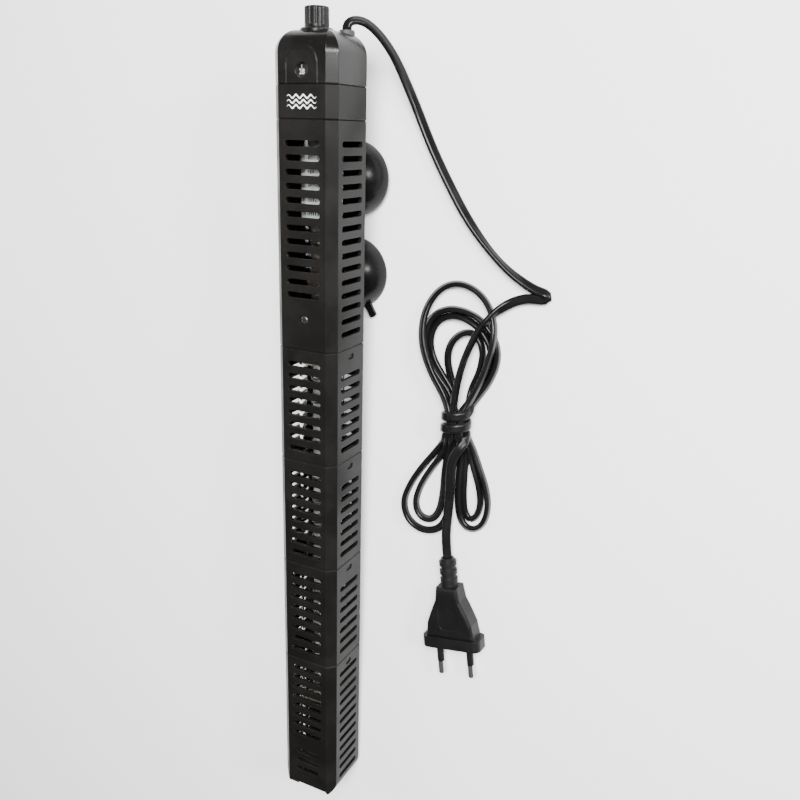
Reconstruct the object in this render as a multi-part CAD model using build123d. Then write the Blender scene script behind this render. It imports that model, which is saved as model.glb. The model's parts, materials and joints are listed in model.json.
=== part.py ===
from build123d import *
import math
import os

# Submersible aquarium heater: a quartz heating tube inside a square slotted guard, with a
# temperature knob in the cap, two suction cups on the back and a flat lead tied in a hank.
#
# The heater is modelled upright in its own tube frame: Z along the tube towards the knob,
# Y towards the back, where the cups are, so the front faces -Y. lay_down() then puts it on
# its back on a table, leaning on the foot and on the rim of the lower cup. In that final
# frame +Z is up, +Y runs from foot to knob, and the origin is the middle of the footprint.

# ---- Driving dimensions, millimetres ----
SIDE = 36.0              # across the flats of the square guard
CORNER = 4.5             # leg of the bevel on the guard's four long corners
WALL = 2.0               # guard, band and cap wall
SEAM_BEVEL = 0.5         # bevel on each end edge: two of them make the groove at a seam
FOOT_LENGTH = 93.0
SEGMENT_LENGTH = 63.0
SEGMENT_COUNT = 3
UPPER_LENGTH = 115.0
BAND_LENGTH = 16.0
CAP_HEIGHT = 25.0
CAP_ROUND = 11.0         # rounding of the cap's top edges
FOOT_ROUND_FRONT = 4.0   # rounding of the foot's end, seen from the side
FOOT_ROUND_BACK = SIDE / 2
FOOT_ROUND_SIDE = 9.0    # rounding of the foot's end, seen from the front
FOOT_NOTCH = 3.4         # depth of the shallow channel across the foot's end
FOOT_NOTCH_LEFT = -8.0
FOOT_NOTCH_RIGHT = 13.0
FLOOR = 5.6              # height of the foot's floor inside
DRAIN_RADIUS = 2.6       # drain holes in the floor
DRAIN_PLACE = 8.0

SLOT_LENGTH = 20.0
SHORT_SLOT_LENGTH = 15.5
SEGMENT_FIRST = 8.1       # first slot below the top edge of a middle length
SEGMENT_SLOTS = 8
UPPER_FIRST = 11.3        # first slot below the top edge of the upper guard
UPPER_SLOTS = 12
UPPER_SIDE_SLOTS = 15
FOOT_FIRST = 6.4          # first long slot, first short one, and first side slot of the foot
FOOT_SHORT_FIRST = 65.7
FOOT_SIDE_FIRST = 9.0
FOOT_SLOTS = 8
SHORT_SLOTS = 3
FOOT_SIDE_SLOTS = 12
SLOT_HEIGHT = 3.0
SLOT_PITCH = 6.8
FOOT_SLOT_PITCH = 6.6
LATCH_DROP = 4.6         # latch window's centre below its seam
LATCH_WIDTH = 6.0

SPIGOT_WALL = 1.4        # each guard piece plugs into the next with this thin collar
SPIGOT_LENGTH = 6.2
SPIGOT_ROOT = 3.0
FIT_GAP = 0.15           # gap between a spigot and the wall around it

TUBE_SPACE = 3.5         # water gap between the guard's wall and the quartz tube
TUBE_RADIUS = SIDE / 2 - WALL - TUBE_SPACE
TUBE_WALL = 1.2
TUBE_BOTTOM = 14.0
TUBE_TOP = 410.0
CUSHION_RADIUS = TUBE_RADIUS + 1.5
CUSHION_BOTTOM = 9.0
CUSHION_TOP = 27.0
CUSHION_BEVEL = 3.0

KNOB_FRONT = 4.0         # the knob's axis stands this far in front of the tube's axis
KNOB_RADIUS = 6.0
KNOB_HEIGHT = 9.4
KNOB_FLUTES = 12
COLLAR_RADIUS = 8.2
COLLAR_PROUD = 0.8       # the collar's top stands this far above the cap's
COLLAR_LENGTH = 10.8
KNOB_GAP = 0.3
SHAFT_RADIUS = 2.0
RUNNING_GAP = 0.05
DRUM_GAP = 1.0           # gap between the dial's drum and the cap's front wall
DRUM_RADIUS = SIDE / 2 - WALL - KNOB_FRONT - DRUM_GAP
DRUM_HEIGHT = 9.4
WINDOW_RADIUS = 3.5
WINDOW_DROP = 18.7       # window's centre below the cap's top
PLUNGER_RADIUS = 1.6
ARCH_HALF = 9.0          # the line that arches round the window
ARCH_HEIGHT = 34.0
ARCH_LINE = 0.4

GLAND_RADIUS = 4.0
GLAND_DEPTH = 10.0
GLAND_PROUD = 1.0

CUP_RADIUS = 20.0
CUP_DEPTH = 17.4
CUP_HOLLOW = 9.0
CUP_LIP = 1.4            # width of the rim's flat ring
CUP_EDGE = 0.8           # thickness of the rim's edge
CUP_NECK = 3.0
CUP_HEAD = 4.5
CUP_GAP = 0.2            # play along the neck, so that the cup turns freely
CUP_DROPS = (29.5, 81.0)  # centres below the band's lower seam
CUP_TAB_TURNS = (90.0, -60.0)  # where each cup's pull tab points

SCREW_DROP = 99.0
SCREW_HEAD = 2.3
SCREW_BOSS = 3.6

CORD_RADIUS = 2.6
HANK_HEIGHT = 11.0
TIE_HEIGHT = 17.0

PLUG_X = 79.0            # middle of the plug's pin face on the table
PLUG_Y = -113.0
PLUG_TURN = 9.0          # degrees the plug is turned from the heater's line
PLUG_THICK = 13.7
PLUG_BODY = 37.0
PLUG_RELIEF = 16.5
PIN_SPACING = 18.6
PIN_LENGTH = 19.0
PIN_RADIUS = 2.0
SLEEVE_LENGTH = 11.0
PIN_STEM = 1.5           # radius of the pin inside its sleeve
PIN_ROOT = 8.0           # length of the pin and its sleeve inside the plug
ROOT_WALL = 0.3          # the sleeve's wall inside the plug

CORE_RADIUS = 5.0        # ceramic rod that carries the heating wire
CORE_BASE = 55.0
CORE_TOP = 276.0
DISC_THICK = 1.5
WINDING_MARGIN = 6.0     # bare length of the core at each end of its winding
WINDING_THICK = 1.2

SHAFT_END = 402.0        # thermostat, heights along the tube
TOP_DISC = 404.0
PLATE_FRONT = 1.5
PLATE_BACK = 2.5
PLATE_BASE = 284.0
PLUNGER_LOW = 380.0
PLUNGER_HIGH = 401.0
CONTACT_Z = 346.0
BLOCK_TOP = 318.0
WIRE_SPREAD = 7.7        # degrees between each wire and the line from the tube's axis to the gland
WIRE_MARGIN = 1.24       # from each wire's middle to the tube's bore
WIRE_FOOT = 3.0          # how far from the axis each wire meets the core
WIRE_RADIUS = 0.6

# ---- The lead's route on the table, in the final frame ----
ARCH_STEPS = [  # the arch from the gland down to the table, counted from the gland's end
    (0, 3.9, 0.25), (1.9, 6.7, -1.75), (4.8, 6.7, -4.85), (8.2, 4.5, -8.35), (11.6, 0.1, -13.15),
    (14.8, -5.9, -18.55), (18.2, -13.9, -24.55), (22.6, -25.5, -29.15), (27.6, -37.3, -31.65),
]
LEAD_POINTS = [
    (42.4, 165.8, 2.7), (48.9, 154.4, 2.7), (56.2, 142.8, 2.7), (63.6, 131.8, 2.7),
    (71.6, 121.8, 2.7), (80.6, 112.2, 2.7), (90.2, 104.2, 2.7), (99.6, 99.0, 2.7), (109.0, 98.0, 2.7),
    (113.6, 92.6, 2.7), (110.4, 86.2, 2.7), (103.2, 86.0, 2.7), (95.4, 86.6, 2.7), (88.0, 82.4, 3.6),
    (81.6, 75.6, 6.4), (76.6, 67.0, 8.6),
]
TAIL_POINTS = [(70.3, -22.0, 4.6), (68.4, -35.5, 4.6), (68.0, -48.2, 6.2)]
LOBES = [  # centre x, centre y, half width, half length, turn in degrees
    (67.5, 60.0, 21.0, 35.0, -8.0),
    (54.5, -16.0, 13.0, 35.0, -22.0),
    (80.0, -14.0, 11.5, 31.0, 14.0),
]
LOBE_BAND = 8.0          # width of the band of turns round a lobe's open middle
TIE_CENTRE = (70.5, 20.0)
TIE_SIZE = (18.0, 21.0)
TIE_TURN = -6.0

# ---- Places that follow from them ----
SEGMENT_BASES = [FOOT_LENGTH + i * SEGMENT_LENGTH for i in range(SEGMENT_COUNT)]
UPPER_BASE = FOOT_LENGTH + SEGMENT_COUNT * SEGMENT_LENGTH
BAND_BASE = UPPER_BASE + UPPER_LENGTH
CAP_BASE = BAND_BASE + BAND_LENGTH
CAP_TOP = CAP_BASE + CAP_HEIGHT
HALF = SIDE / 2
BORE_RADIUS = TUBE_RADIUS - TUBE_WALL
PLATE_HALF = BORE_RADIUS - 3.3
WIRE_REACH = BORE_RADIUS - WIRE_MARGIN
WIRE_LIVE, WIRE_NEUTRAL = [
    (WIRE_REACH * math.cos(math.radians(turn)), WIRE_REACH * math.sin(math.radians(turn)))
    for turn in (45 + WIRE_SPREAD, 45 - WIRE_SPREAD)]
GLAND_X = GLAND_Y = (WIRE_REACH + 2.67) / math.sqrt(2)
KNOB_AXIS = Pos(0, -KNOB_FRONT, 0)
COLLAR_TOP = CAP_TOP + COLLAR_PROUD
KNOB_BASE = COLLAR_TOP + KNOB_GAP
WINDOW_Z = CAP_TOP - WINDOW_DROP
DRUM_BASE = WINDOW_Z - DRUM_HEIGHT / 2
CUP_CENTRES = [BAND_BASE - drop for drop in CUP_DROPS]
RIM_BACK = HALF + CUP_GAP + CUP_DEPTH

nodes = {}


# ---- Shared shapes ----
def bar(z_low, z_high, inset=0.0, bevel=0.0):
    """A bevelled square bar along the tube, smaller all round by inset."""
    corner = CORNER - inset * (2 - math.sqrt(2))
    width = SIDE - 2 * inset
    outline = Rectangle(width, width)
    outline = chamfer(outline.vertices(), corner)
    solid = Pos(0, 0, z_low) * extrude(outline, z_high - z_low)
    if bevel:
        ends = solid.faces().filter_by(Axis.Z).edges()
        solid = chamfer(ends, bevel)
    return solid


def rod(radius, z_low, z_high, x=0.0, y=0.0):
    """A round rod along the tube."""
    return Pos(x, y, z_low) * extrude(Circle(radius), z_high - z_low)


def ring(outer, inner, z_low, z_high, x=0.0, y=0.0):
    """A round ring along the tube."""
    return rod(outer, z_low, z_high, x, y) - rod(inner, z_low - 1, z_high + 1, x, y)


def block(x_low, x_high, y_low, y_high, z_low, z_high):
    """A plain block between two corners."""
    middle = Pos((x_low + x_high) / 2, (y_low + y_high) / 2, (z_low + z_high) / 2)
    return middle * Box(x_high - x_low, y_high - y_low, z_high - z_low)


def wall_cutter(outline, z, turn):
    """An outline cut through one wall: turn 0 is the front, 90 the right, 180 the back."""
    tool = extrude(outline, WALL + 2)
    return Rot(Z=turn) * Pos(0, -HALF - 1, z) * Rot(X=-90) * tool


def slot_row(top, first, count, turn, pitch=SLOT_PITCH, length=SLOT_LENGTH):
    """A row of round-ended slots below a seam, in one wall."""
    outline = SlotOverall(length, SLOT_HEIGHT)
    return [wall_cutter(outline, top - first - i * pitch, turn) for i in range(count)]


def latch_windows(top):
    """The windows in both sides that the latches of the piece above snap into."""
    outline = SlotOverall(LATCH_WIDTH, SLOT_HEIGHT)
    return [wall_cutter(outline, top - LATCH_DROP, turn) for turn in (90, -90)]


def spigot(base, with_latches=True):
    """The thin collar below a piece, which plugs into the piece under it."""
    root = bar(base, base + SPIGOT_ROOT, WALL)
    tongue = bar(base - SPIGOT_LENGTH, base, WALL + FIT_GAP)
    collar = root + tongue - bar(base - 10, base + 10, WALL + FIT_GAP + SPIGOT_WALL)
    if not with_latches:
        return collar
    reach = HALF - 0.6
    start = HALF - WALL - 2 * FIT_GAP
    size = (LATCH_WIDTH - 1.0) / 2
    tall = SLOT_HEIGHT / 2 - 0.4
    z = base - LATCH_DROP
    right = block(start, reach, -size, size, z - tall, z + tall)
    left = block(-reach, -start, -size, size, z - tall, z + tall)
    return collar + right + left


def guard_shell(base, top):
    """A length of the square guard, hollow right through."""
    return bar(base, top, 0, SEAM_BEVEL) - bar(base - 1, top + 1, WALL)


# ---- Guard ----
def make_segment(base):
    """A middle segment of the guard, slotted on all four walls."""
    top = base + SEGMENT_LENGTH
    cutters = slot_row(top, SEGMENT_FIRST, SEGMENT_SLOTS, 0)
    cutters += slot_row(top, SEGMENT_FIRST, SEGMENT_SLOTS, 180)
    side_first = SEGMENT_FIRST + SLOT_PITCH
    for turn in (90, -90):
        cutters += slot_row(top, side_first, SEGMENT_SLOTS - 1, turn)
    cutters += latch_windows(top)
    return guard_shell(base, top) - cutters + spigot(base)


def make_upper_guard():
    """The long top guard: slots in front and on the right, the screw in front, the cups behind."""
    top = BAND_BASE
    cutters = slot_row(top, UPPER_FIRST, UPPER_SLOTS, 0)
    cutters += slot_row(top, UPPER_FIRST, UPPER_SIDE_SLOTS, 90)
    shell = guard_shell(UPPER_BASE, top) - cutters
    screw_z = top - SCREW_DROP
    boss = Pos(0, -HALF + 1.0, screw_z) * Rot(X=-90) * extrude(Circle(SCREW_BOSS), 3.8)
    shell += boss
    recess = Pos(0, -HALF, screw_z) * Rot(X=-90) * extrude(Circle(SCREW_HEAD + 0.3), 1.7)
    pilot = Pos(0, -HALF, screw_z) * Rot(X=-90) * extrude(Circle(1.2), 4.2)
    shell -= [recess, pilot]
    for z in CUP_CENTRES:
        shell -= wall_cutter(Circle(CUP_NECK + RUNNING_GAP), z, 180)
    return shell + spigot(UPPER_BASE)


def foot_profile(inset):
    """The foot's outline seen from the side, rounded at both lower corners, smaller by inset."""
    front = -HALF + inset
    back = HALF - inset
    high = FOOT_LENGTH + 2
    front_round = FOOT_ROUND_FRONT - inset
    back_round = FOOT_ROUND_BACK - inset
    with BuildSketch(Plane.YZ) as sketch:
        with BuildLine():
            Polyline((back, FOOT_ROUND_BACK), (back, high), (front, high), (front, FOOT_ROUND_FRONT))
            RadiusArc((front, FOOT_ROUND_FRONT), (front + front_round, inset), -front_round)
            Line((front + front_round, inset), (back - back_round, inset))
            RadiusArc((back - back_round, inset), (back, FOOT_ROUND_BACK), -back_round)
        make_face()
    return extrude(sketch.sketch, HALF, both=True)


def make_foot():
    """The closed end of the guard, with a rib cross for the tube and a channel across its end."""
    top = FOOT_LENGTH
    slab = Pos(0, 0, top / 2) * Box(SIDE, 2 * SIDE, top)
    slab = fillet(slab.faces().sort_by(Axis.Z)[0].edges().filter_by(Axis.Y), FOOT_ROUND_SIDE)
    shell = bar(0, top, 0, SEAM_BEVEL) & foot_profile(0) & slab
    shell -= bar(FLOOR, top + 1, WALL) & foot_profile(WALL)
    shell -= block(FOOT_NOTCH_LEFT, FOOT_NOTCH_RIGHT, -HALF - 1, HALF + 1, -1, FOOT_NOTCH)
    cutters = slot_row(top, FOOT_FIRST, FOOT_SLOTS, 0, FOOT_SLOT_PITCH)
    cutters += slot_row(top, FOOT_FIRST, FOOT_SLOTS, 180, FOOT_SLOT_PITCH)
    cutters += slot_row(top, FOOT_SHORT_FIRST, SHORT_SLOTS, 0, FOOT_SLOT_PITCH, SHORT_SLOT_LENGTH)
    for turn in (90, -90):
        cutters += slot_row(top, FOOT_SIDE_FIRST, FOOT_SIDE_SLOTS, turn, FOOT_SLOT_PITCH)
    cutters += latch_windows(top)
    rib = WALL / 2
    reach = HALF - WALL
    cross = block(-reach, reach, -rib, rib, FLOOR, CUSHION_BOTTOM)
    cross += block(-rib, rib, -reach, reach, FLOOR, CUSHION_BOTTOM)
    drain = extrude(Circle(DRAIN_RADIUS), CUSHION_BOTTOM)
    drains = [Pos(x, y, 0) * drain for x in (-DRAIN_PLACE, DRAIN_PLACE) for y in (-DRAIN_PLACE, DRAIN_PLACE)]
    return shell - cutters + (cross & foot_profile(WALL / 2)) - drains


def make_screw():
    """The pan-head screw in the front of the upper guard."""
    z = BAND_BASE - SCREW_DROP
    head = extrude(Circle(SCREW_HEAD), 1.4)
    head = fillet(head.faces().sort_by(Axis.Z)[0].edges(), 0.6)
    head -= [Box(3.0, 0.6, 1.4), Box(0.6, 3.0, 1.4)]
    shank = Pos(0, 0, 1.4) * extrude(Circle(1.2), 2.5)
    return Pos(0, -HALF + 0.3, z) * Rot(X=-90) * (head + shank)


# ---- Band and cap ----
def make_band():
    """The plain band between guard and cap."""
    return guard_shell(BAND_BASE, CAP_BASE) + spigot(BAND_BASE, False)


def dome_profile(width, top, rounding):
    """A slab as wide as given, rounded along its two top edges."""
    slab = Pos(0, 0, CAP_BASE - 5) * extrude(Rectangle(width, 2 * SIDE), top - CAP_BASE + 5)
    edges = slab.faces().sort_by(Axis.Z)[-1].edges().filter_by(Axis.Y)
    return fillet(edges, rounding)


def dome(inset, top, rounding):
    """The cap's bar rounded over at the top on all eight sides."""
    across_bevels = (SIDE - CORNER) * math.sqrt(2) - 2 * inset
    solid = bar(CAP_BASE, top, inset)
    for turn in (0, 45, 90, 135):
        width = across_bevels if turn % 90 else SIDE - 2 * inset
        solid &= Rot(Z=turn) * dome_profile(width, top, rounding)
    return solid


def make_cap():
    """The rounded cap, with a window in front and holes for the knob's collar and the lead."""
    shell = dome(0, CAP_TOP, CAP_ROUND)
    base_edges = shell.faces().sort_by(Axis.Z)[0].edges()
    shell = chamfer(base_edges, SEAM_BEVEL)
    shell -= dome(WALL, CAP_TOP - 2 * WALL, CAP_ROUND - WALL)
    shell -= rod(COLLAR_RADIUS, CAP_BASE, CAP_TOP + 2, 0, -KNOB_FRONT)
    shell -= rod(GLAND_RADIUS, CAP_BASE, CAP_TOP + 2, GLAND_X, GLAND_Y)
    shell -= wall_cutter(Circle(WINDOW_RADIUS), WINDOW_Z, 0)
    arch = RectangleRounded(2 * ARCH_HALF, ARCH_HEIGHT, ARCH_HALF - 0.5)
    panel = extrude(arch - offset(arch, -ARCH_LINE), ARCH_LINE)
    return shell - Pos(0, -HALF, CAP_BASE + SEAM_BEVEL) * Rot(X=-90) * panel


def make_collar():
    """The knob's bush, with a bore for the shaft and a groove for its sealing ring."""
    low = COLLAR_TOP - COLLAR_LENGTH
    collar = rod(COLLAR_RADIUS, low, COLLAR_TOP)
    collar = chamfer(collar.faces().sort_by(Axis.Z)[-1].edges(), 0.6)
    collar -= rod(SHAFT_RADIUS + RUNNING_GAP, low - 1, COLLAR_TOP + 1)
    collar -= rod(3.6, COLLAR_TOP - 6.0, COLLAR_TOP - 4.4)
    return KNOB_AXIS * collar


def make_o_ring():
    """The rubber ring that seals the shaft in its bush."""
    thickness = 0.75
    inner = SHAFT_RADIUS + RUNNING_GAP
    return Pos(0, -KNOB_FRONT, COLLAR_TOP - 5.2) * Torus(inner + thickness, thickness)


def make_knob():
    """The fluted temperature knob."""
    knob = rod(KNOB_RADIUS, KNOB_BASE, KNOB_BASE + KNOB_HEIGHT)
    knob = fillet(knob.faces().sort_by(Axis.Z)[-1].edges(), 1.0)
    flute = rod(0.8, KNOB_BASE + 1.2, KNOB_BASE + KNOB_HEIGHT + 1, KNOB_RADIUS + 0.35)
    knob -= [Rot(Z=360 / KNOB_FLUTES * i) * flute for i in range(KNOB_FLUTES)]
    knob -= rod(SHAFT_RADIUS, KNOB_BASE - 1, KNOB_BASE + KNOB_HEIGHT - 3)
    return KNOB_AXIS * knob


def make_shaft():
    """The shaft from the knob down to the thermostat."""
    return KNOB_AXIS * rod(SHAFT_RADIUS, SHAFT_END, KNOB_BASE + KNOB_HEIGHT - 3)


def make_dial_drum():
    """The numbered drum behind the window, which turns with the knob."""
    top = DRUM_BASE + DRUM_HEIGHT
    drum = ring(DRUM_RADIUS, DRUM_RADIUS - 1.2, DRUM_BASE, top)
    web_low = DRUM_BASE + 4.0
    drum += ring(DRUM_RADIUS - 0.5, SHAFT_RADIUS, web_low, web_low + 1.4)
    drum += ring(3.4, SHAFT_RADIUS, web_low - 2, web_low + 3)
    return KNOB_AXIS * drum


def make_window():
    """The clear lens over the dial, set into the cap's front wall."""
    lens = extrude(Circle(WINDOW_RADIUS), WALL - 0.3)
    return Pos(0, -HALF + 0.3, WINDOW_Z) * Rot(X=-90) * lens


def make_gland():
    """The rubber bush that the lead comes out of."""
    low = CAP_TOP - GLAND_DEPTH
    gland = rod(GLAND_RADIUS, low, CAP_TOP)
    flange = Pos(0, 0, CAP_TOP) * extrude(Circle(GLAND_RADIUS), GLAND_PROUD, taper=18)
    gland = gland + flange
    return Pos(GLAND_X, GLAND_Y, 0) * gland


# ---- Quartz tube and what seals it ----
def make_tube():
    """The quartz tube, round at its closed lower end."""
    outer = rod(TUBE_RADIUS, TUBE_BOTTOM + TUBE_RADIUS, TUBE_TOP)
    outer += Pos(0, 0, TUBE_BOTTOM + TUBE_RADIUS) * Sphere(TUBE_RADIUS)
    inner = rod(BORE_RADIUS, TUBE_BOTTOM + TUBE_RADIUS, TUBE_TOP + 1)
    inner += Pos(0, 0, TUBE_BOTTOM + TUBE_RADIUS) * Sphere(BORE_RADIUS)
    return outer - inner


def make_cushion():
    """The rubber cup that carries the tube's round end."""
    cup = rod(CUSHION_RADIUS, CUSHION_BOTTOM, CUSHION_TOP)
    cup = chamfer(cup.faces().sort_by(Axis.Z)[0].edges(), CUSHION_BEVEL)
    end = rod(TUBE_RADIUS, TUBE_BOTTOM + TUBE_RADIUS, CUSHION_TOP + 1)
    end += Pos(0, 0, TUBE_BOTTOM + TUBE_RADIUS) * Sphere(TUBE_RADIUS)
    return cup - end


def make_stopper():
    """The rubber stopper that seals the tube into the band."""
    body = bar(BAND_BASE + 1, CAP_BASE - 1, WALL) - bar(0, BAND_BASE + SPIGOT_ROOT, WALL)
    low = rod(TUBE_RADIUS + 1.4, BAND_BASE + 0.5, BAND_BASE + SPIGOT_ROOT)
    return body + low - rod(TUBE_RADIUS, 0, CAP_TOP)


# ---- Heating element ----
def make_core():
    """The ceramic rod that the heating wire is wound on."""
    return rod(CORE_RADIUS, CORE_BASE, CORE_TOP)


def make_winding():
    """The envelope of the heating wire's turns."""
    low = CORE_BASE + WINDING_MARGIN
    return ring(CORE_RADIUS + WINDING_THICK, CORE_RADIUS, low, CORE_TOP - WINDING_MARGIN)


def make_core_disc(z):
    """A mica disc that centres the core in the tube."""
    disc = ring(BORE_RADIUS, CORE_RADIUS, z, z + DISC_THICK)
    return disc - rod(0.8, z - 1, z + 3, *WIRE_LIVE) - rod(0.8, z - 1, z + 3, *WIRE_NEUTRAL)


# ---- Thermostat ----
def make_top_disc():
    """The mica disc at the tube's mouth, with holes for shaft and wires."""
    disc = rod(BORE_RADIUS, TOP_DISC, TOP_DISC + DISC_THICK)
    disc -= rod(SHAFT_RADIUS + 0.3, 0, CAP_TOP, 0, -KNOB_FRONT)
    return disc - rod(WIRE_RADIUS, 0, CAP_TOP, *WIRE_LIVE) - rod(WIRE_RADIUS, 0, CAP_TOP, *WIRE_NEUTRAL)


def make_thermostat_frame():
    """The steel plate that carries the switch, with a guide for the plunger."""
    plate = block(-PLATE_HALF, PLATE_HALF, PLATE_FRONT, PLATE_BACK, PLATE_BASE, TOP_DISC)
    guide = block(-4, 4, -KNOB_FRONT - 3.5, PLATE_FRONT, 390, 392)
    guide -= rod(PLUNGER_RADIUS + RUNNING_GAP, 380, 400, 0, -KNOB_FRONT)
    windows = [block(-2, 2, PLATE_FRONT - 1, PLATE_BACK + 1, z, z + 6) for z in (364, 376)]
    return plate + guide - windows


def make_plunger():
    """The pin that sets the bimetal's load, raised and lowered by the shaft's thread."""
    return KNOB_AXIS * rod(PLUNGER_RADIUS, PLUNGER_LOW, PLUNGER_HIGH)


def make_contact_block():
    """The ceramic block that insulates the switch from its plate."""
    return block(-5, 5, -KNOB_FRONT - 2, PLATE_FRONT, BLOCK_TOP - 8, BLOCK_TOP)


def make_bimetal():
    """The bimetal strip, with a flat tab under the plunger."""
    strip = block(-3, 3, -KNOB_FRONT - 0.3, -KNOB_FRONT + 0.3, BLOCK_TOP, 377)
    return strip + block(-3, 3, -KNOB_FRONT - 2.5, -KNOB_FRONT + 2.5, 377, 377.6)


def make_contact_arm():
    """The spring leaf that carries the moving contact."""
    return block(-2, 2, -1.7, -1.3, BLOCK_TOP, CONTACT_Z + 4)


def contact(y_low, y_high):
    """A round silver contact facing the front or the back."""
    return Pos(0, y_low, CONTACT_Z) * Rot(X=-90) * extrude(Circle(1.3), y_high - y_low)


def make_tube_label():
    """The curved printed card just inside the tube, behind the front slots."""
    outer = BORE_RADIUS - 0.05
    shell = ring(outer, outer - 0.3, 348, 392)
    return shell & block(-8, 8, -BORE_RADIUS - 1, -5, 340, 400)


def make_wire(place, foot_x):
    """A wire from the gland down to the heating core."""
    x, y = place
    points = [(x, y, CAP_TOP - GLAND_DEPTH), (x, y, CORE_TOP + 8)]
    points += [(foot_x, 0, CORE_TOP + 3), (foot_x, 0, CORE_TOP)]
    path = FilletPolyline(*points, radius=0.9)
    return sweep(Plane(points[0], z_dir=(0, 0, -1)) * Circle(WIRE_RADIUS), path=path)


# ---- Suction cups ----
def dome_arc(radius, height, z):
    """An arc of a ball from the rim of a shallow dome to its crown on the axis."""
    ball = (radius ** 2 + height ** 2) / (2 * height)
    half = math.asin(radius / ball) / 2
    middle = (ball * math.sin(half), z + height - ball + ball * math.cos(half))
    return ThreePointArc((radius, z), middle, (0, z + height))


def make_cup(z, tab_turn):
    """A suction cup with its neck through the guard's back wall, turned so its hollow faces back."""
    rim = CUP_RADIUS
    with BuildSketch(Plane.XZ) as sketch:
        with BuildLine():
            dome_arc(rim, CUP_DEPTH - CUP_EDGE, CUP_EDGE)
            Polyline((0, CUP_DEPTH), (0, CUP_HOLLOW))
            dome_arc(rim - CUP_LIP, CUP_HOLLOW, 0)
            Polyline((rim - CUP_LIP, 0), (rim, 0), (rim, CUP_EDGE))
        make_face()
    cup = revolve(sketch.sketch, Axis.Z)
    neck_top = CUP_DEPTH + CUP_GAP + WALL + CUP_GAP
    cup += rod(CUP_NECK, CUP_DEPTH - 2, neck_top)
    head = rod(CUP_HEAD, neck_top, neck_top + 1.5)
    cup += chamfer(head.faces().sort_by(Axis.Z)[-1].edges(), 0.5)
    tab = Pos(rim + 2.5, 0, 2.2) * Box(9, 4, 1.6)
    tab = fillet(tab.edges().filter_by(Axis.Z), 1.2)
    tab -= rod(rim - 1.6, -5, 5)
    cup += Rot(Z=tab_turn) * tab
    return Pos(0, RIM_BACK, z) * Rot(X=90) * cup


# ---- Lead, hank and plug, in the final frame ----
def tube_along(points, radius):
    """A round tube along straight runs joined by arcs as large as the runs allow."""
    radii = []
    for before, corner, after in zip(points, points[1:], points[2:]):
        run_in = Vector(*corner) - Vector(*before)
        run_out = Vector(*after) - Vector(*corner)
        turn = math.radians(run_in.get_angle(run_out))
        radii.append(0.45 * min(run_in.length, run_out.length) / math.tan(turn / 2))
    path = FilletPolyline(*points, radius=radii)
    start = Plane(points[0], z_dir=Vector(*points[1]) - Vector(*points[0]))
    tube = sweep(start * Circle(radius), path=path)
    ratio = tube.volume / (math.pi * radius ** 2 * path.length)
    print("arc radii", [round(r, 1) for r in radii])
    print("length", round(path.length, 1), "volume ratio", round(ratio, 4))
    return tube


def make_hank():
    """The outer shape of the hank: three open lobes drawn together by the tie."""
    solid = None
    for x, y, half_width, half_length, turn in LOBES:
        lobe = Ellipse(half_width, half_length)
        lobe -= Ellipse(half_width - LOBE_BAND, half_length - LOBE_BAND - 1)
        lobe = Pos(x, y, 0.1) * Rot(Z=turn) * extrude(lobe, HANK_HEIGHT)
        solid = lobe if solid is None else solid + lobe
    tie = RectangleRounded(*TIE_SIZE, 5)
    return solid + Pos(*TIE_CENTRE, 0.1) * Rot(Z=TIE_TURN) * extrude(tie, TIE_HEIGHT)


def plug_place():
    """The plug's own frame: X across, Y towards the lead, origin in its pin face on the table."""
    return Pos(PLUG_X, PLUG_Y, PLUG_THICK / 2) * Rot(Z=PLUG_TURN)


def make_plug_body():
    """The moulded plug body: a narrow neck, a body that widens, and a flange at the pins."""
    profile = [(6.4, PLUG_BODY), (7.6, PLUG_BODY - 8), (11.2, PLUG_BODY - 16)]
    profile += [(13.6, PLUG_BODY - 22), (14.8, 6.4)]
    mirrored = [(-x, y) for x, y in reversed(profile)]
    outline = Polyline(*profile, *mirrored, close=True)
    body = Pos(0, 0, -6.2) * extrude(make_face(outline), 12.4)
    body = fillet(body.faces().filter_by(Axis.Z).edges(), 1.8)
    flange = Pos(0, 3.2, 0) * Box(35.3, 6.4, PLUG_THICK)
    flange = fillet(flange.edges().filter_by(Axis.Y), 4.0)
    grip = Pos(0, PLUG_BODY / 2, 5.7) * extrude(RectangleRounded(12, 14, 3), 2)
    plug = body + flange - grip
    for x in (-PIN_SPACING / 2, PIN_SPACING / 2):
        plug -= Pos(x, 0, 0) * Rot(X=-90) * extrude(Circle(PIN_STEM + ROOT_WALL), PIN_ROOT)
    return plug_place() * plug


def make_plug_relief():
    """The ribbed strain relief at the plug's neck."""
    relief = Pos(0, PLUG_BODY, 0) * Rot(X=-90) * extrude(Circle(4.6), PLUG_RELIEF, taper=3)
    rib = Rot(X=-90) * extrude(Circle(5.0), 2.6)
    ribs = [Pos(0, PLUG_BODY + 2.2 + 5.0 * i, 0) * rib for i in range(3)]
    return plug_place() * (relief + ribs)


def plug_pin_pair(build):
    """The same piece at both pin places."""
    return [plug_place() * Pos(x, 0, 0) * Rot(X=90) * build() for x in (-PIN_SPACING / 2, PIN_SPACING / 2)]


def one_pin():
    """A brass pin: a full-size tip on a thinner stem that runs back into the plug."""
    tip = rod(PIN_RADIUS, SLEEVE_LENGTH, PIN_LENGTH)
    tip = fillet(tip.faces().sort_by(Axis.Z)[-1].edges(), 1.2)
    return tip + rod(PIN_STEM, -PIN_ROOT, SLEEVE_LENGTH)


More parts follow.
